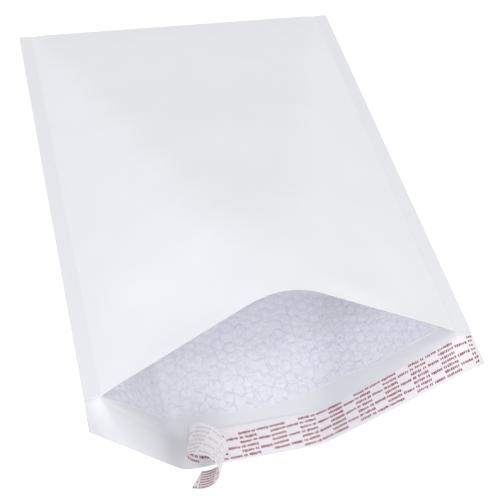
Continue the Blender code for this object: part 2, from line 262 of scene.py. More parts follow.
def seam_line_x(side, reach):
    """The inner line of a side seam, where the two panels part."""
    return edge_x(side, reach) - side * SEAM_WIDTH


def seam_height(side, reach):
    """The mid-height of a side seam."""
    return HALF_STACK + LIFT[side] * reach


def back_slope(side):
    """The fall of the back panel's ramp from the seam to the crease."""
    fall = seam_height(side, 1.0) - HALF_SEAM
    crease = side * (ENVELOPE_WIDTH / 2.0 - RAMP_WIDTH[side])
    return fall / (side * (seam_line_x(side, 1.0) - crease))


def crease_x(side, reach):
    """The crease at the foot of a ramp."""
    near = side * (ENVELOPE_WIDTH / 2.0 - RAMP_WIDTH[side])
    far_run = (HALF_STACK - HALF_SEAM) / back_slope(side)
    return mix(seam_line_x(side, 0.0) - side * far_run, near, reach)


def peak_height():
    """The height of the tent, from the front panel keeping its full width."""
    left = np.array([seam_line_x(LEFT, MOUTH), seam_height(LEFT, MOUTH)])
    right = np.array([seam_line_x(RIGHT, MOUTH), seam_height(RIGHT, MOUTH)])
    half_span = np.linalg.norm(right - left) / 2.0
    half_panel = ENVELOPE_WIDTH / 2.0 - SEAM_WIDTH - RIDGE_TAKE_UP
    rise = math.sqrt(half_panel ** 2 - half_span ** 2)
    tilt = (right[1] - left[1]) / (right[0] - left[0])
    middle = (left + right) / 2.0
    share = (PEAK_OFFSET - middle[0]) / half_panel
    return middle[1] + tilt * (PEAK_OFFSET - middle[0]) + rise * math.sqrt(1.0 - share ** 2)


PEAK_HEIGHT = peak_height()


def back_height(x, reach):
    """The underside of the back panel."""
    rounding = mix(CREASE_ROUND_FAR, CREASE_ROUND_NEAR, reach)
    # Past the mouth the seams open out, until the flap's sides are plain ramps
    opened = np.clip((reach - MOUTH) / (1.0 - MOUTH), 0.0, 1.0)
    seam_rounding = mix(SEAM_ROUND_MOUTH, SEAM_ROUND_FLAP, opened)
    body = np.zeros_like(x)
    flap = np.zeros_like(x)
    for side in SIDES:
        top = seam_height(side, reach) - HALF_SEAM
        inside = side * (seam_line_x(side, reach) - x)
        body = smooth_max(body, top - back_slope(side) * smooth_max(inside, 0.0, seam_rounding), rounding)
        ramp = side * (edge_x(side, reach) - crease_x(side, reach))
        climb = side * (x - crease_x(side, reach)) / ramp
        flap = smooth_max(flap, top * climb, rounding)
    return mix(body, flap, opened)


def front_height(x, reach):
    """The top of the front panel."""
    share = reach / MOUTH
    slopes = []
    for side in SIDES:
        foot = seam_height(side, MOUTH) + HALF_SEAM
        rise = (PEAK_HEIGHT - foot) / (side * (seam_line_x(side, MOUTH) - PEAK_OFFSET))
        inside = side * (seam_line_x(side, reach) - x)
        slopes.append(seam_height(side, reach) + HALF_SEAM + rise * np.maximum(inside, 0.0))
    tent = smooth_min(slopes[0], slopes[1], mix(RIDGE_ROUND_FAR, RIDGE_ROUND_NEAR, share))
    middle = mix(STACK, PEAK_HEIGHT, share)
    return smooth_min(tent, middle, mix(RIDGE_ROUND_FAR, FACET_ROUND_NEAR, share))


HEIGHTS = {"front": front_height, "back": back_height}


def flap_edge_y(x):
    """The flap's cut edge, seen from above."""
    corner = {side: pulled_in(SHEET_LENGTH, LIFT[side], draw_in(side)) for side in SIDES}
    stations = [edge_x(LEFT, 1.0), crease_x(LEFT, 1.0), crease_x(RIGHT, 1.0), edge_x(RIGHT, 1.0)]
    return np.interp(x, stations, [corner[LEFT], -LEFT_BOW, -RIGHT_BOW, corner[RIGHT]])


def mouth_edge_y(x):
    """The front panel's cut edge, seen from above."""
    recess = pulled_in(BODY_LENGTH, PEAK_HEIGHT - STACK)
    lines = []
    for side in SIDES:
        corner_x = edge_x(side, MOUTH)
        corner = pulled_in(BODY_LENGTH, LIFT[side] * MOUTH, draw_in(side) * MOUTH)
        lines.append(corner + (recess - corner) * (x - corner_x) / (PEAK_OFFSET - corner_x))
    return FLAP_LENGTH + smooth_min(lines[0], lines[1], RIDGE_ROUND_NEAR * recess / PEAK_HEIGHT)


def front_reach(near_x, station):
    """The reach of a front row's points, longer toward the left corner."""
    askew = (PEAK_OFFSET - near_x) / (PEAK_OFFSET - edge_x(LEFT, MOUTH))
    return MOUTH * station * (1.0 + MOUTH_SKEW / BODY_LENGTH * np.clip(askew, 0.0, 1.0))


class Panel:
    """Columns of the front or the back panel, evenly spaced along the sheet itself."""

    # Reaches at which the columns are worked out, steps across the sheet there, and how far
    # past the mouth the front's columns go
    KNOTS = 25
    SECTION_STEPS = 600
    FRONT_OVERRUN = 1.02

    def __init__(self, side_name, insets, margin, count):
        self.height = HEIGHTS[side_name]
        self.front = side_name == "front"
        self.top_reach = MOUTH * self.FRONT_OVERRUN if self.front else 1.0
        rows = [self.section(reach, insets, margin, count) for reach in self.knots()]
        self.x = np.array([row[0] for row in rows])
        self.u = np.array([row[1] for row in rows])
        radius = (front_height(self.x[0], 0.0) - back_height(self.x[0], 0.0)) / 2.0
        self.fold_reach = radius / SHEET_LENGTH
        self.far_y = SHEET_LENGTH - FOLD_TAKE_UP * radius / HALF_STACK
        near_reach = MOUTH if self.front else 1.0
        self.near_x = self.section(near_reach, insets, margin, count)[0]
        edge = mouth_edge_y if self.front else flap_edge_y
        self.near_y = edge(self.near_x)

    def knots(self):
        """The reaches at which the columns are worked out."""
        return np.linspace(0.0, self.top_reach, self.KNOTS)

    def section(self, reach, insets, margin, count):
        """The x and the flat place across the sheet of each column, at a reach."""
        insets = np.array(insets, float)
        low, high = edge_x(LEFT, reach) + margin, edge_x(RIGHT, reach) - margin
        dense = np.linspace(low, high, self.SECTION_STEPS)
        run = np.hypot(np.diff(dense), np.diff(self.height(dense, reach)))
        arc = np.concatenate([[0.0], np.cumsum(run)])
        shares = np.linspace(0.0, 1.0, count)
        left, right = edge_x(LEFT, reach) + insets, edge_x(RIGHT, reach) - insets[::-1]
        x = np.concatenate([left, np.interp(shares * arc[-1], arc, dense), right])
        flat = margin + shares * (ENVELOPE_WIDTH - 2.0 * margin)
        return x, np.concatenate([insets, flat, ENVELOPE_WIDTH - insets[::-1]])

    def look_up(self, table, reach):
        """A table's values at a reach for each column."""
        place = np.clip(reach / self.top_reach, 0.0, 1.0) * (self.KNOTS - 1)
        knot = np.minimum(place.astype(int), self.KNOTS - 2)
        column = np.broadcast_to(np.arange(table.shape[1]), place.shape)
        return mix(table[knot, column], table[knot + 1, column], place - knot)

    def points(self, reach):
        """Points of the panel's outer face, and their flat places across."""
        reach = np.broadcast_to(reach, (len(reach), self.x.shape[1]))
        x = self.look_up(self.x, reach)
        share = reach / MOUTH if self.front else reach
        y = mix(self.far_y, self.near_y, share)
        return np.stack([x, y, self.height(x, reach)], axis=-1), self.look_up(self.u, reach)


def fold_round(front, back):
    """The round of the folded end between the two panels' last rows."""
    start = front.points(front.fold_reach[None])[0][0]
    end = back.points(back.fold_reach[None])[0][0]
    rows = []
    for step in range(1, FOLD_STEPS):
        share = step / FOLD_STEPS
        angle = math.pi * (0.5 - share)
        row = mix(start, end, share)
        radius = (start[:, 2] - end[:, 2]) / 2.0
        row[:, 1] += radius * math.cos(angle)
        row[:, 2] = (start[:, 2] + end[:, 2]) / 2.0 + radius * math.sin(angle)
        rows.append(row)
    return np.array(rows)


def web_grid(front=None, back=None, front_reaches=None, back_reaches=None):
    """Outer points and flat coordinates from the mouth over the fold to the flap."""
    parts, flats = [], []
    if front is not None:
        points, u = front.points(front_reaches)
        parts.append(points)
        flats.append(np.stack([u, -SHEET_LENGTH * np.broadcast_to(front_reaches, u.shape)], axis=-1))
    if front is not None and back is not None:
        rounds = fold_round(front, back)
        u = np.broadcast_to(back.u[0], rounds.shape[:2])
        parts.append(rounds)
        flats.append(np.stack([u, np.zeros_like(u)], axis=-1))
    if back is not None:
        points, u = back.points(back_reaches)
        parts.append(points)
        flats.append(np.stack([u, SHEET_LENGTH * np.broadcast_to(back_reaches, u.shape)], axis=-1))
    grid, flat = np.concatenate(parts), np.concatenate(flats)
    return grid + inward_normals(grid) * panel_waves(flat)[..., None], flat


def panel_waves(flat):
    """How far the front panel dips inward at flat places, not at its seams."""
    u, v = flat[..., 0], flat[..., 1]
    reach = np.abs(v) / SHEET_LENGTH
    width = u.min(axis=1, keepdims=True) + u.max(axis=1, keepdims=True)
    inside = np.minimum(u, width - u) - SEAM_WIDTH
    fade = smooth_step(inside / WAVE_SIDE_REACH) * smooth_step(reach / WAVE_FAR_SHARE)
    fade *= smooth_step((MOUTH - reach) / WAVE_MOUTH_SHARE)
    waves = WAVE_HEIGHT * value_noise(u, v, WAVE_SIZE, seed=1)
    ripples = RIPPLE_HEIGHT * value_noise(u, v, RIPPLE_SIZE, seed=2)
    rounded = smooth_step(inside / PILLOW_SIDE_REACH) * smooth_step(-v / PILLOW_FAR_REACH)
    pillow = PILLOW_HEIGHT * rounded * smooth_step((MOUTH - reach) / PILLOW_MOUTH_SHARE)
    return np.where(v < 0.0, (waves + ripples) * fade - pillow, 0.0)


def inward_normals(grid):
    """Unit normals of a grid of points, toward the inside of the envelope."""
    normals = np.cross(np.gradient(grid, axis=0), np.gradient(grid, axis=1))
    lengths = np.linalg.norm(normals, axis=-1, keepdims=True)
    return normals / np.maximum(lengths, np.finfo(float).tiny)


# Meshes

def grid_faces(rows, columns, first):
    """Quads of a grid whose first vertex has a given index."""
    index = first + np.arange(rows * columns).reshape(rows, columns)
    corners = (index[:-1, :-1], index[:-1, 1:], index[1:, 1:], index[1:, :-1])
    return np.stack(corners, axis=-1).reshape(-1, 4)


def new_mesh_object(name, points, faces, flat=None, values=None):
    """A smooth mesh object, with a flat UV map and a value at each vertex."""
    mesh = bpy.data.meshes.new(name)
    mesh.from_pydata((points + SHIFT).tolist(), [], faces.tolist())
    if flat is not None:
        layer = mesh.uv_layers.new(name="flat")
        loops = np.empty(len(mesh.loops), np.int32)
        mesh.loops.foreach_get("vertex_index", loops)
        layer.data.foreach_set("uv", flat[loops].ravel().astype(np.float32))
    for value_name, value in (values or {}).items():
        attribute = mesh.attributes.new(value_name, "FLOAT", "POINT")
        attribute.data.foreach_set("value", value.astype(np.float32))
    mesh.shade_smooth()
    mesh.set_sharp_from_angle(angle=SHARP_ANGLE)
    thing = bpy.data.objects.new(name, mesh)
    bpy.context.scene.collection.objects.link(thing)
    return thing


def layer_object(name, outer, inner, flat=None, values=None, materials=()):
    """A closed sheet between two grids. A second material is for its cut edges."""
    rows, columns = outer.shape[:2]
    count = rows * columns
    index = np.arange(count).reshape(rows, columns)
    rim = np.concatenate([index[0], index[1:, -1], index[-1, -2::-1], index[-2:0:-1, 0]])
    following = np.roll(rim, -1)
    sides = np.stack([following, rim, rim + count, following + count], axis=-1)
    inner_faces = grid_faces(rows, columns, count)[:, ::-1]
    faces = np.concatenate([grid_faces(rows, columns, 0), inner_faces, sides])
    points = np.concatenate([outer.reshape(-1, 3), inner.reshape(-1, 3)])
    if flat is not None:
        flat = np.tile(flat.reshape(-1, 2), (2, 1))
    both = {}
    for value_name, value in (values or {}).items():
        both[value_name] = np.concatenate([np.zeros(count), value.ravel()])
    layer = new_mesh_object(name, points, faces, flat, both)
    for material in materials:
        layer.data.materials.append(material)
    slots = np.zeros(len(faces), np.int32)
    slots[len(faces) - len(sides):] = len(materials) - 1
    layer.data.polygons.foreach_set("material_index", slots)
    return layer


# Node helpers

def new_material(name):
    """An empty node material with a Principled shader."""
    material = bpy.data.materials.new(name)
    material.use_nodes = True
    nodes = material.node_tree.nodes
    return material, nodes, material.node_tree.links, nodes["Principled BSDF"]


def add_noise(nodes, links, vector, scale, detail, roughness=0.55):
    """A noise texture's strength at a scale."""
    noise = nodes.new("ShaderNodeTexNoise")
    noise.inputs["Scale"].default_value = scale
    noise.inputs["Detail"].default_value = detail
    noise.inputs["Roughness"].default_value = roughness
    links.new(vector, noise.inputs["Vector"])
    return noise.outputs["Fac"]


def add_ramp(nodes, links, value, taken, given=(0.0, 1.0)):
    """A value mapped from the range that is taken to the one that is given, and held in it."""
    spread = nodes.new("ShaderNodeMapRange")
    links.new(value, spread.inputs["Value"])
    for name, number in zip(("From Min", "From Max", "To Min", "To Max"), (*taken, *given)):
        spread.inputs[name].default_value = number
    return spread.outputs["Result"]


def add_math(nodes, links, operation, *values):
    """The result of an operation on other nodes' values."""
    maths = nodes.new("ShaderNodeMath")
    maths.operation = operation
    for value, socket in zip(values, maths.inputs):
        links.new(value, socket)
    return maths.outputs["Value"]


def add_split(nodes, links, place):
    """The x and y of a flat place."""
    parts = nodes.new("ShaderNodeSeparateXYZ")
    links.new(place, parts.inputs["Vector"])
    return parts.outputs["X"], parts.outputs["Y"]


def add_mix(nodes, links, share, first, second):
    """Two colours mixed by a share. Either may be a colour or a socket."""
    blend = nodes.new("ShaderNodeMix")
    blend.data_type = "RGBA"
    links.new(share, blend.inputs["Factor"])
    for socket, colour in ((blend.inputs["A"], first), (blend.inputs["B"], second)):
        if isinstance(colour, tuple):
            socket.default_value = (*colour, 1.0)
        else:
            links.new(colour, socket)
    return blend.outputs["Result"]


def add_bump(nodes, links, height, distance, strength, normal=None):
    """A bump of a real height in metres."""
    bump = nodes.new("ShaderNodeBump")
    bump.inputs["Distance"].default_value = distance
    bump.inputs["Strength"].default_value = strength
    links.new(height, bump.inputs["Height"])
    if normal is not None:
        links.new(normal, bump.inputs["Normal"])
    return bump.outputs["Normal"]


def add_crinkles(nodes, links, place, scale, stretch, width):
    """Thin wavy lines round irregular cells, stretched along y: 1 on a line and 0 beside it."""
    wander_scale, wander_reach = scale * 2.2, 0.5 / scale
    wander = nodes.new("ShaderNodeTexNoise")
    wander.inputs["Scale"].default_value = wander_scale
    wander.inputs["Detail"].default_value = 2.0
    links.new(place, wander.inputs["Vector"])
    shift = nodes.new("ShaderNodeVectorMath")
    shift.operation = "MULTIPLY_ADD"
    links.new(wander.outputs["Color"], shift.inputs[0])
    shift.inputs[1].default_value = (wander_reach, wander_reach, 0.0)
    links.new(place, shift.inputs[2])
    mapping = nodes.new("ShaderNodeMapping")
    mapping.inputs["Scale"].default_value = (1.0, stretch, 1.0)
    links.new(shift.outputs["Vector"], mapping.inputs["Vector"])
    cells = nodes.new("ShaderNodeTexVoronoi")
    cells.feature = "DISTANCE_TO_EDGE"
    cells.voronoi_dimensions = "2D"
    cells.inputs["Scale"].default_value = scale
    cells.inputs["Randomness"].default_value = 0.7
    links.new(mapping.outputs["Vector"], cells.inputs["Vector"])
    return add_ramp(nodes, links, cells.outputs["Distance"], (0.0, width), (1.0, 0.0))


def add_seam_share(nodes, links, place, blend):
    """1 on the two side seams and 0 from a blend's width inside them, fading out over the flap."""
    across, along = add_split(nodes, links, place)
    half = ENVELOPE_WIDTH / 2.0
    seam_line = half - SEAM_WIDTH
    from_middle = add_ramp(nodes, links, across, (0.0, ENVELOPE_WIDTH), (-half, half))
    away = add_math(nodes, links, "ABSOLUTE", from_middle)
    beside = add_ramp(nodes, links, away, (seam_line - blend, seam_line))
    before_flap = add_ramp(nodes, links, along, (BODY_LENGTH, BODY_LENGTH + SEAM_FADE), (1.0, 0.0))
    return add_math(nodes, links, "MULTIPLY", beside, before_flap)


def coordinate(nodes, output):
    """A coordinate of the surface, in metres."""
    return nodes.new("ShaderNodeTexCoord").outputs[output]


# Materials

def paper_material():
    """Smooth bleached kraft, with a faint mottle and fibre, and a little painted shade that greys the side
    seams.
    """
    dull, clear = (0.835, 0.842, 0.868), (0.868, 0.873, 0.896)
    pale_fibre, seam_colour = (0.885, 0.888, 0.905), (0.800, 0.806, 0.826)
    material, nodes, links, shader = new_material("white_paper")
    place = coordinate(nodes, "UV")
    mottle = add_noise(nodes, links, place, scale=28.0, detail=3.0)
    fibre = add_noise(nodes, links, place, scale=900.0, detail=4.0, roughness=0.7)
    tone = add_mix(nodes, links, add_ramp(nodes, links, mottle, (0.3, 0.7)), dull, clear)
    tone = add_mix(nodes, links, add_ramp(nodes, links, fibre, (0.25, 0.75)), tone, pale_fibre)
    # Painted shade: the side seams a little greyer.
    seam = add_seam_share(nodes, links, place, FACE_SEAM_BLEND)
    tone = add_mix(nodes, links, add_ramp(nodes, links, seam, (0.0, 1.0), (0.0, 0.5)), tone, seam_colour)
    links.new(tone, shader.inputs["Base Color"])
    links.new(add_ramp(nodes, links, mottle, (0.3, 0.7), (0.52, 0.62)), shader.inputs["Roughness"])
    rough = add_bump(nodes, links, fibre, distance=0.00006, strength=0.35)
    uneven = add_bump(nodes, links, mottle, distance=0.0004, strength=0.2, normal=rough)
    links.new(uneven, shader.inputs["Normal"])
    shader.inputs["Specular IOR Level"].default_value = 0.35
    return material


def cut_edge_material():
    """The paper's cut edge: partly greyer raw fibre and partly painted shade that draws a thin dark line
    along the edge, and pale like the paper over the seams.
    """
    dark_edge_shade, light_edge_shade, seam_colour = (0.28, 0.285, 0.30), (0.38, 0.385, 0.40), (0.820, 0.826, 0.846)
    material, nodes, links, shader = new_material("paper_cut_edge")
    fibre = add_noise(nodes, links, coordinate(nodes, "Object"), scale=1500.0, detail=3.0)
    # Painted shade: the cut edge is dark like the shade line along the mouth's edge, and partly this is
    # its own greyer fibre.
    edge_shade = add_mix(nodes, links, fibre, dark_edge_shade, light_edge_shade)
    seam = add_seam_share(nodes, links, coordinate(nodes, "UV"), CUT_EDGE_SEAM_BLEND)
    links.new(add_mix(nodes, links, seam, edge_shade, seam_colour), shader.inputs["Base Color"])
    shader.inputs["Roughness"].default_value = 0.8
    return material


def film_lines(nodes, links, place, broken):
    """The outlines of the film's cells, and the share of painted shade in all its crinkle lines: fainter
    deep inside and strongest near the mouth, where the light comes in.
    """
    outline = add_crinkles(nodes, links, place, scale=128.0, stretch=0.58, width=0.078)
    wrinkle = add_crinkles(nodes, links, place, scale=170.0, stretch=0.28, width=0.050)
    outline_share = add_ramp(nodes, links, broken, (0.45, 0.60), (0.0, 0.90))
    wrinkle_share = add_ramp(nodes, links, wrinkle, (0.0, 1.0), (0.0, 0.42))
    both = add_math(nodes, links, "MULTIPLY_ADD", outline, outline_share, wrinkle_share)
    along = add_split(nodes, links, place)[1]
    # Painted light: the crinkle shade is weaker deep inside and strongest near the mouth, where the light
    # comes in.
    depths = (BODY_LENGTH - LINES_FAINT_DEPTH, BODY_LENGTH - LINES_FULL_DEPTH)
    mouth_light_share = add_ramp(nodes, links, along, depths, (0.40, 1.15))
    return outline, add_math(nodes, links, "MULTIPLY", both, mouth_light_share)


def film_material():
    """Bubble film as it looks over white paper, with painted shade in its hollows and in fine crinkles
    round its cells, and painted light on its domes and in small glints.
    """
    shaded_hollow, lit_dome, cloudy = (0.858, 0.868, 0.942), (0.930, 0.936, 0.978), (0.940, 0.945, 0.980)
    painted_glint, painted_crinkle_shade = (0.985, 0.987, 0.995), (0.735, 0.747, 0.800)
    material, nodes, links, shader = new_material("bubble_film")
    place = coordinate(nodes, "UV")
    rise = nodes.new("ShaderNodeAttribute")
    rise.attribute_name = "rise"
    # Painted shade in the hollows between the cells and painted light on their domes.
    tone = add_mix(nodes, links, add_ramp(nodes, links, rise.outputs["Fac"], (0.05, 0.70)), shaded_hollow, lit_dome)
    cloud = add_noise(nodes, links, place, scale=45.0, detail=2.0)
    tone = add_mix(nodes, links, add_ramp(nodes, links, cloud, (0.35, 0.65), (0.0, 0.6)), tone, cloudy)
    # Painted highlights: small bright specks that stand in for glints on the bubbles.
    glint_spots = add_noise(nodes, links, place, scale=260.0, detail=1.0)
    tone = add_mix(nodes, links, add_ramp(nodes, links, glint_spots, (0.58, 0.68), (0.0, 0.9)), tone, painted_glint)
    broken = add_noise(nodes, links, place, scale=75.0, detail=4.0, roughness=0.75)
    outline, lines = film_lines(nodes, links, place, broken)
    # Painted shade in the film's crinkle lines.
    links.new(add_mix(nodes, links, lines, tone, painted_crinkle_shade), shader.inputs["Base Color"])
    links.new(add_ramp(nodes, links, broken, (0.3, 0.7), (0.22, 0.38)), shader.inputs["Roughness"])
    soft = add_bump(nodes, links, broken, distance=0.0008, strength=0.4)
    creased = add_bump(nodes, links, outline, distance=-0.0004, strength=0.35, normal=soft)
    links.new(creased, shader.inputs["Normal"])
    shader.inputs["Specular IOR Level"].default_value = 0.5
    return material


def adhesive_material():
    """A clear tacky film as it looks on white paper."""
    thick, thin = (0.845, 0.852, 0.875), (0.865, 0.871, 0.893)
    material, nodes, links, shader = new_material("clear_adhesive")
    streak = add_noise(nodes, links, coordinate(nodes, "UV"), scale=160.0, detail=3.0)
    links.new(add_mix(nodes, links, streak, thick, thin), shader.inputs["Base Color"])
    links.new(add_ramp(nodes, links, streak, (0.3, 0.7), (0.40, 0.50)), shader.inputs["Roughness"])
    links.new(add_bump(nodes, links, streak, distance=0.0001, strength=0.3), shader.inputs["Normal"])
    return material


def liner_material(lift_off):
    """Siliconed release paper with a soft gloss, which lets light through where it is peeled off."""
    rosy, pale, pale_fibre = (0.890, 0.840, 0.850), (0.915, 0.872, 0.880), (0.925, 0.887, 0.892)
    material, nodes, links, shader = new_material("release_paper")
    place = coordinate(nodes, "UV")
    fibre = add_noise(nodes, links, place, scale=700.0, detail=4.0, roughness=0.7)
    cloud = add_noise(nodes, links, place, scale=60.0, detail=2.0)
    tone = add_mix(nodes, links, cloud, rosy, pale)
    tone = add_mix(nodes, links, add_ramp(nodes, links, fibre, (0.3, 0.7)), tone, pale_fibre)
    links.new(tone, shader.inputs["Base Color"])
    links.new(add_ramp(nodes, links, cloud, (0.3, 0.7), (0.34, 0.46)), shader.inputs["Roughness"])
    links.new(add_bump(nodes, links, fibre, distance=0.00005, strength=0.3), shader.inputs["Normal"])
    along = add_split(nodes, links, place)[0]
    peeled = add_ramp(nodes, links, along, (lift_off - CURL_LEAD_IN, lift_off + CURL_LEAD_IN), (1.0, 0.0))
    links.new(peeled, shader.inputs["Subsurface Weight"])
    shader.inputs["Subsurface Radius"].default_value = (1.0, 0.93, 0.94)
    shader.inputs["Subsurface Scale"].default_value = LINER_SCATTER
    return material


def ink_material(name, dark, light):
    """Thin ink, uneven from place to place."""
    material, nodes, links, shader = new_material(name)
    patch = add_noise(nodes, links, coordinate(nodes, "Object"), scale=900.0, detail=3.0, roughness=0.7)
    colour = add_mix(nodes, links, add_ramp(nodes, links, patch, (0.35, 0.65)), dark, light)
    links.new(colour, shader.inputs["Base Color"])
    shader.inputs["Roughness"].default_value = 0.45
    return material


# Pieces

def make_outer_envelope():
    """The paper: both panels, the folded end, the side seams and the flap."""
    insets = np.linspace(0.0, SEAM_WIDTH, SEAM_COLUMNS + 1)[:-1]
    front = Panel("front", insets, SEAM_WIDTH, PAPER_COLUMNS)
    back = Panel("back", insets, SEAM_WIDTH, PAPER_COLUMNS)
    shares = np.linspace(1.0, 0.0, FRONT_ROWS)[:, None]
    front_reaches = mix(front.fold_reach, front_reach(front.near_x, 1.0), shares)
    body = mix(back.fold_reach, MOUTH, np.linspace(0.0, 1.0, BACK_ROWS)[:, None])
    flap = np.linspace(MOUTH, 1.0, FLAP_ROWS + 1)[1:, None]
    flap = np.broadcast_to(flap, (FLAP_ROWS, body.shape[1]))
    outer, flat = web_grid(front, back, front_reaches, np.concatenate([body, flap]))
    inner = outer + inward_normals(outer) * PAPER_THICKNESS
    materials = (paper_material(), cut_edge_material())
    return layer_object("paper_envelope", outer, inner, flat, materials=materials)


def bubbles(u, v):
    """The rise of the film at flat places, from 0 between its cells to 1 on them."""
    warp_u = value_noise(u, v, BUBBLE_WARP_SIZES[0], seed=7)
    warp_v = value_noise(u, v, BUBBLE_WARP_SIZES[1], seed=8)
    u, v = u + BUBBLE_WARP * warp_u, v + BUBBLE_WARP * warp_v
    step_u, step_v = BUBBLE_PITCH * math.sqrt(3.0) / 2.0, BUBBLE_PITCH
    column = np.floor(u / step_u)
    best = np.zeros_like(u)
    for column_step in (-1, 0, 1):
        i = column + column_step
        stagger = 0.5 * np.mod(i, 2.0)
        row = np.floor(v / step_v - stagger)
        for row_step in (-1, 0, 1):
            j = row + row_step
            jitter_u = BUBBLE_JITTER * (hash_share(i, j, seed=3) - 0.5)
            jitter_v = BUBBLE_JITTER * (hash_share(i, j, seed=4) - 0.5)
            centre_u = (i + 0.5 + jitter_u) * step_u
            centre_v = (j + 0.5 + stagger + jitter_v) * step_v
            radius = BUBBLE_RADIUS * mix(*BUBBLE_RADIUS_SPREAD, hash_share(i, j, seed=5))
            distance = np.hypot(u - centre_u, v - centre_v)
            crown = mix(BUBBLE_SHOULDER, 1.0, 1.0 - np.clip(distance / radius, 0.0, 1.0) ** 2)
            fullness = mix(LEAST_FULLNESS, 1.0, hash_share(i, j, seed=6))
            wall = smooth_step((radius - distance) / BUBBLE_WALL)
            best = np.maximum(best, wall * crown * fullness)
    return best


def lining_faces(outer_paper, flat, rim_distance):
    """The outer and inner faces of the film, and how high its bubbles rise."""
    normals = inward_normals(outer_paper)
    x, reach = outer_paper[..., 0], np.abs(flat[..., 1]) / SHEET_LENGTH
    room = (front_height(x, np.minimum(reach, MOUTH)) - back_height(x, reach)) / 2.0
    levelness = np.maximum(np.abs(normals[..., 2]), LEAST_LEVELNESS)
    levelness = np.where(flat[..., 1] == 0.0, 1.0, levelness)
    spare = room * levelness - LAYER_STEP - POCKET_SLOT / 2.0
    full = np.clip(spare, LEAST_LINING, PADDING_THICKNESS)
    level = mix(LEAST_LINING, full, smooth_step(rim_distance / RIM_TAPER))
    rise = bubbles(flat[..., 0], flat[..., 1]) * smooth_step(rim_distance / RIM_BORDER)
    thickness = level - np.minimum(BUBBLE_RELIEF, level - LEAST_LINING) * (1.0 - rise)
    outer = outer_paper + normals * LAYER_STEP
    return outer, outer + normals * thickness[..., None], rise


def back_rim(u):
    """The reach of the film's near edge on the back panel."""
    shifts = np.linspace(-BACK_EDGE_SOFTNESS, BACK_EDGE_SOFTNESS, BACK_EDGE_SAMPLES)
    setbacks = [np.interp(u + shift, BACK_EDGE_PLACES, BACK_EDGE_SETBACKS) for shift in shifts]
    return MOUTH - np.mean(setbacks, axis=0) / SHEET_LENGTH


def make_lining(film):
    """The bubble film in three stretches: two fine ones at the mouth and one deep inside."""
    deep = MOUTH - FINE_DEPTH / SHEET_LENGTH
    back = Panel("back", [], LINING_INSET, BACK_FILM_COLUMNS)
    near = back_rim(back.u[-1])
    reaches = mix(deep, near, np.linspace(0.0, 1.0, BACK_FILM_ROWS)[:, None])
    stretches = [("lining_back_panel", near - reaches) + web_grid(back=back, back_reaches=reaches)]
    front = Panel("front", [], LINING_INSET, FRONT_FILM_COLUMNS)
    near = front_reach(front.near_x, 1.0) - FRONT_SETBACK / SHEET_LENGTH
    reaches = mix(deep, near, np.linspace(1.0, 0.0, FRONT_FILM_ROWS)[:, None])
    stretches.append(("lining_front_panel", near - reaches) + web_grid(front=front, front_reaches=reaches))
    back = Panel("back", [], LINING_INSET, DEEP_FILM_COLUMNS)
    front = Panel("front", [], LINING_INSET, DEEP_FILM_COLUMNS)
    shares = np.linspace(0.0, 1.0, DEEP_FILM_ROWS)[:, None]
    reaches = (mix(front.fold_reach, deep, shares)[::-1], mix(back.fold_reach, deep, shares))
    stretches.append(("lining_folded_end", 1.0) + web_grid(front, back, *reaches))
    made = []
    for name, rim_reach, paper, flat in stretches:
        rim_distance = np.minimum(rim_reach * SHEET_LENGTH, side_distance(flat))
        outer, inner, rise = lining_faces(paper, flat, rim_distance)
        made.append(layer_object(name, outer, inner, flat, {"rise": rise}, (film,)))
    return made


def side_distance(flat):
    """The distance from the film's two long edges."""
    u = flat[..., 0]
    return np.minimum(u - u.min(axis=1, keepdims=True), u.max(axis=1, keepdims=True) - u)


def flap_strip(lines, side_margin, heights, columns, rows):
    """Grids at heights over the flap, between two lines along its cut edge."""
    back = Panel("back", [], side_margin, columns)
    reaches = 1.0 - np.linspace(lines[0], lines[1], rows)[:, None] / SHEET_LENGTH
    paper, u = back.points(reaches)
    flat = np.stack([u, SHEET_LENGTH * np.broadcast_to(reaches, u.shape)], axis=-1)
    normals = inward_normals(paper)
    return [paper + normals * height for height in heights], flat


def make_adhesive_strip():
    """The band of pressure-sensitive glue along the flap."""
    lines = (FLAP_LENGTH - ADHESIVE_MOUTH_MARGIN, ADHESIVE_EDGE_MARGIN)
    foot = PAPER_THICKNESS + ADHESIVE_LIFT
    thickness = np.full(ADHESIVE_ROWS, ADHESIVE_THICKNESS)
    thickness[[0, -1]] = ADHESIVE_EDGE_THICKNESS
    heights = (foot, foot + thickness[:, None, None])
    (bottom, top), flat = flap_strip(lines, ADHESIVE_SIDE_MARGIN, heights, ADHESIVE_COLUMNS, ADHESIVE_ROWS)
    return layer_object("adhesive_band", bottom, top, flat, materials=(adhesive_material(),))


def curl_frames(start):
    """The peeled end's middle line with its width and normal directions."""
    step = (CURL_LENGTH + TORN_SLANT) / CURL_STATIONS
    knots = np.linspace(0.0, CURL_LENGTH, len(CURL_RADII))
    ahead = np.array([-1.0, 0.0, 0.0])
    normal = np.array([0.0, 0.0, 1.0])
    across = np.array([0.0, -1.0, 0.0])
    point = np.array(start)
    frames = [(point, across, normal)]
    for station in range(CURL_STATIONS):
        place = (station + 0.5) * step
        bend = min(place / CURL_LEAD_IN, 1.0) * np.interp(place, knots, 1.0 / np.array(CURL_RADII))
        twist = bend * np.interp(place, knots, CURL_TWISTS)
        turned = ahead + step * bend * normal
        middle = (ahead + turned) / 2.0
        point = point + step * middle / np.linalg.norm(middle)
        normal = normal + step * (twist * across - bend * ahead)
        ahead = turned / np.linalg.norm(turned)
        normal -= ahead * normal.dot(ahead)
        normal /= np.linalg.norm(normal)
        across = np.cross(normal, ahead)
        frames.append((point, across, normal))
    return frames


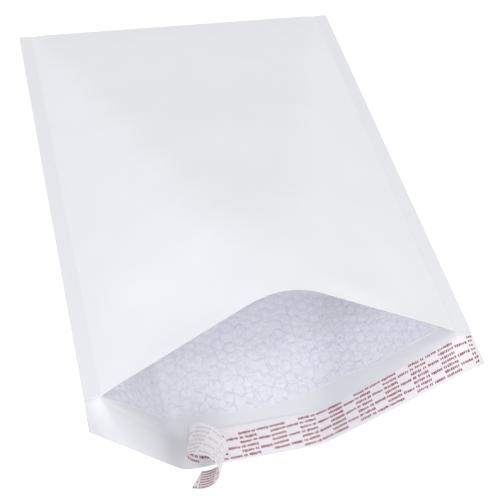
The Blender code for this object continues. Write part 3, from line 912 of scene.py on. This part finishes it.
def liner_surface():
    """The liner's middle surface, its normals, and the place of each point along it."""
    lines = np.linspace(FLAP_LENGTH - LINER_MOUTH_MARGIN, LINER_EDGE_MARGIN, LINER_ROWS)
    height = PAPER_THICKNESS + ADHESIVE_LIFT + ADHESIVE_THICKNESS + LINER_LIFT + LINER_THICKNESS / 2.0
    ends = (lines[0], lines[-1])
    (stuck,), flat = flap_strip(ends, LINER_SIDE_MARGIN, (height,), LINER_COLUMNS, LINER_ROWS)
    keep = stuck[-1, :, 0] > LIFT_OFF_X + CURL_LEAD_IN
    stuck, flat = stuck[:, keep], flat[:, keep]
    start = (LIFT_OFF_X, stuck[-1, 0, 1] + LINER_WIDTH / 2.0, height)
    frames = curl_frames(start)
    centres, widths = np.array([frame[0] for frame in frames]), np.array([frame[1] for frame in frames])
    stations = np.linspace(0.0, CURL_LENGTH + TORN_SLANT, len(frames))
    rows, along = [], []
    for row, line in enumerate(lines):
        offset = LINER_WIDTH / 2.0 - (line - LINER_EDGE_MARGIN)
        slant = 1.0 + TORN_SLANT / CURL_LENGTH * (offset / LINER_WIDTH - 0.5)
        places = np.linspace(CURL_LENGTH * slant, 0.0, len(frames))
        free = [np.interp(places, stations, (centres + widths * offset)[:, axis]) for axis in range(3)]
        rows.append(np.concatenate([np.stack(free, axis=-1), stuck[row]]))
        lift_off = flat[row, 0, 0] - (stuck[row, 0, 0] - LIFT_OFF_X)
        along.append(np.concatenate([lift_off - places, flat[row, :, 0]]))
    points = np.array(rows)
    return points, inward_normals(points), np.array(along), lines


def place_along(points, along, x):
    """The place along the liner, in its middle row, of what lies at an x where it is stuck down."""
    middle = len(points) // 2
    return np.interp(x, points[middle, CURL_STATIONS:, 0], along[middle, CURL_STATIONS:])


def make_release_liner(points, normals, along):
    """The liner as thin paper: stuck down along the flap, then peeled into a curl."""
    half = normals * LINER_THICKNESS / 2.0
    lower, upper = points - half, points + half
    across = np.broadcast_to(np.linspace(LINER_WIDTH, 0.0, len(points))[:, None], along.shape)
    flat = np.stack([along, across], axis=-1)
    paper = liner_material(place_along(points, along, LIFT_OFF_X))
    return layer_object("peeled_liner", lower, upper, flat, materials=(paper,))


def row_sag(place):
    """The share of the rows' sag at a place along the liner."""
    rise = smooth_step((place - ROW_SAG_RISE[0]) / (ROW_SAG_RISE[1] - ROW_SAG_RISE[0]))
    fall = smooth_step((place - ROW_SAG_FALL[0]) / (ROW_SAG_FALL[1] - ROW_SAG_FALL[0]))
    return rise * (1.0 - fall)


def block_places(start, along):
    """Each block's left end along the liner and its row's middle line, past both of the liner's ends."""
    middle = len(along) // 2
    first = math.floor((along[middle, 0] - start) / PHRASE_PERIOD) - 1
    last = math.ceil((along[middle, -1] - start) / PHRASE_PERIOD) + 1
    blocks = []
    for row in range(PRINT_ROWS):
        line = LINER_EDGE_MARGIN + LINER_WIDTH / 2.0 + (PRINT_ROWS // 2 - row) * ROW_PITCH
        words = PHRASE_WORDS if row % 2 == 0 else PHRASE_WORDS[::-1]
        shift = 0.0 if row % 2 == 0 else EVEN_ROW_SHIFT
        for phrase in range(first, last):
            place = start + shift + phrase * PHRASE_PERIOD
            for word in words:
                blocks += [(place + letter * BLOCK_ADVANCE, line) for letter in range(word)]
                place += (word + WORD_GAP) * BLOCK_ADVANCE
    return blocks


def printed_blocks(points, normals, along, lines, printed_side):
    """The rows of word-like bars on one face of the liner, as small flat blocks."""
    surface = points + normals * printed_side * (LINER_THICKNESS / 2.0 + PRINT_LIFT)
    start = place_along(surface, along, PHRASE_START_X)
    corners = []
    for count, (place, line) in enumerate(block_places(start, along)):
        width_share, shift_share, height_share = (hash_share(count, k, seed=11) for k in (1, 2, 3))
        sides = (place, place + BLOCK_WIDTH * mix(*BLOCK_WIDTH_SPREAD, width_share))
        line += BLOCK_HEIGHT * mix(*BLOCK_SHIFT_SPREAD, shift_share) - ROW_SAG * row_sag(place)
        half = BLOCK_HEIGHT / 2.0 * mix(*BLOCK_HEIGHT_SPREAD, height_share)
        if line - half < LINER_EDGE_MARGIN:
            continue
        row_along = along[int(np.argmin(np.abs(lines - line)))]
        if sides[0] < row_along[0] + PRINT_END_MARGIN or sides[1] > row_along[-1] - PRINT_END_MARGIN:
            continue
        for end in (line + half, line, line - half):
            corners += [(sides[0], end), (sides[1], end)]
    return on_surface(surface, along, lines, np.array(corners))


def on_surface(surface, along, lines, places):
    """Points of a surface at places along and across it."""
    just_short_of_last = len(lines) - 1.001
    row = np.interp(places[:, 1], lines[::-1], np.arange(len(lines))[::-1])
    row = np.clip(row, 0, just_short_of_last)
    low = row.astype(int)
    found = []
    for step in (0, 1):
        points = np.zeros((len(places), 3))
        for index in range(len(lines)):
            chosen = low + step == index
            for axis in range(3):
                points[chosen, axis] = np.interp(places[chosen, 0], along[index], surface[index, :, axis])
        found.append(points)
    return mix(found[0], found[1], (row - low)[:, None])


def make_print(name, points, material):
    """Blocks given by three pairs of points each, across the rows."""
    block_points = 6
    first = np.arange(0, len(points), block_points)[:, None]
    faces = np.concatenate([first + [0, 1, 3, 2], first + [2, 3, 5, 4]])
    piece = new_mesh_object(name, points, faces)
    piece.data.materials.append(material)
    return piece


# The stage: the floor, the room's light level, and the level that the camera sees

FLOOR_HALF = 3.0
FLOOR_LEVEL = -0.0004
FLOOR_GLOW = 0.45
ROOM_LEVEL = 0.830
ROOM_SEEN_LEVEL = 1.0


def floor_material():
    """Matt white, with a glow that only the camera and clear or glossy surfaces see."""
    material, nodes, links, shader = new_material("white_floor")
    shader.inputs["Base Color"].default_value = (0.82, 0.82, 0.82, 1.0)
    shader.inputs["Roughness"].default_value = 0.9
    rays = nodes.new("ShaderNodeLightPath").outputs
    seen = add_math(nodes, links, "MAXIMUM", rays["Is Camera Ray"], rays["Is Glossy Ray"])
    seen = add_math(nodes, links, "MAXIMUM", seen, rays["Is Transmission Ray"])
    shader.inputs["Emission Color"].default_value = (1.0, 1.0, 1.0, 1.0)
    glow = add_ramp(nodes, links, seen, (0.0, 1.0), (0.0, FLOOR_GLOW))
    links.new(glow, shader.inputs["Emission Strength"])
    return material


def make_floor():
    """A floor that shows as plain white and keeps the object's shadow."""
    mesh = bpy.data.meshes.new("floor")
    signs = ((-1, -1), (1, -1), (1, 1), (-1, 1))
    corners = [(x * FLOOR_HALF, y * FLOOR_HALF, FLOOR_LEVEL) for x, y in signs]
    mesh.from_pydata(corners, [], [(0, 1, 2, 3)])
    mesh.materials.append(floor_material())
    floor = bpy.data.objects.new("floor", mesh)
    bpy.context.scene.collection.objects.link(floor)


def add_lamp(name, place, size, power, colour=(1.0, 1.0, 1.0)):
    """A square area lamp aimed at the mouth."""
    mouth_middle = Vector((0.0, -0.15, 0.03))
    light = bpy.data.lights.new(name, "AREA")
    light.size = size
    light.energy = power
    light.color = colour
    lamp = bpy.data.objects.new(name, light)
    lamp.location = place
    lamp.rotation_euler = (mouth_middle - Vector(place)).to_track_quat("-Z", "Y").to_euler()
    bpy.context.scene.collection.objects.link(lamp)


def make_lights():
    """A bright even room, a low lamp that shines into the mouth, and one lamp on each side."""
    world = bpy.data.worlds.new("room")
    bpy.context.scene.world = world
    world.use_nodes = True
    nodes, links = world.node_tree.nodes, world.node_tree.links
    background = nodes["Background"]
    background.inputs["Color"].default_value = (1.0, 1.0, 1.0, 1.0)
    seen = nodes.new("ShaderNodeLightPath").outputs["Is Camera Ray"]
    level = add_ramp(nodes, links, seen, (0.0, 1.0), (ROOM_LEVEL, ROOM_SEEN_LEVEL))
    links.new(level, background.inputs["Strength"])
    add_lamp("mouth_lamp", (-0.12, -1.65, 0.58), size=1.2, power=16.5, colour=(0.94, 0.95, 1.0))
    add_lamp("left_lamp", (-1.5, -0.30, 1.10), size=1.2, power=2.4, colour=(0.62, 0.65, 1.0))
    add_lamp("right_lamp", (1.5, -0.20, 1.10), size=0.6, power=1.5)


# The camera stands where the photograph's perspective puts it, turned about x, y and z by degrees
CAMERA_PLACE = (-0.1437, -0.2984, 0.6807)
CAMERA_TURNS = (37.70, -4.37, -11.99)
CAMERA_LENS_PIXELS = 897.8
PHOTO_PIXELS = 500.0
SENSOR_WIDTH = 36.0


def make_camera():
    """The camera at the photograph's viewing angle."""
    data = bpy.data.cameras.new("camera")
    data.sensor_width = SENSOR_WIDTH
    data.lens = CAMERA_LENS_PIXELS / PHOTO_PIXELS * SENSOR_WIDTH
    camera = bpy.data.objects.new("camera", data)
    camera.location = Vector(CAMERA_PLACE) + Vector(SHIFT)
    camera.rotation_euler = [math.radians(turn) for turn in CAMERA_TURNS]
    bpy.context.scene.collection.objects.link(camera)
    bpy.context.scene.camera = camera


def place_piece(piece, slot, *nodes):
    """Puts a piece on the one body and hides the nodes that it stands for. The slot is not used."""
    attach(piece, "root")
    if nodes:
        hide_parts(*nodes)


make_camera()
make_floor()
make_lights()
bpy.context.scene.view_settings.view_transform = "Standard"

place_piece(make_outer_envelope(), "outer_envelope", "outer_envelope")
for lining_piece in make_lining(film_material()):
    place_piece(lining_piece, "bubble_lining", "bubble_lining")
place_piece(make_adhesive_strip(), "adhesive_strip", "adhesive_strip")
liner_points, liner_normals, liner_along, liner_lines = liner_surface()
place_piece(make_release_liner(liner_points, liner_normals, liner_along), "release_liner", "release_liner")
ink = ink_material("maroon_ink", (0.22, 0.036, 0.054), (0.40, 0.105, 0.138))
shadow_ink = ink_material("show_through", (0.66, 0.60, 0.62), (0.78, 0.73, 0.745))
front_blocks = printed_blocks(liner_points, liner_normals, liner_along, liner_lines, 1.0)
place_piece(make_print("liner_print", front_blocks, ink), "release_liner")
back_blocks = printed_blocks(liner_points, liner_normals, liner_along, liner_lines, -1.0)
place_piece(make_print("liner_show_through", back_blocks, shadow_ink), "release_liner")
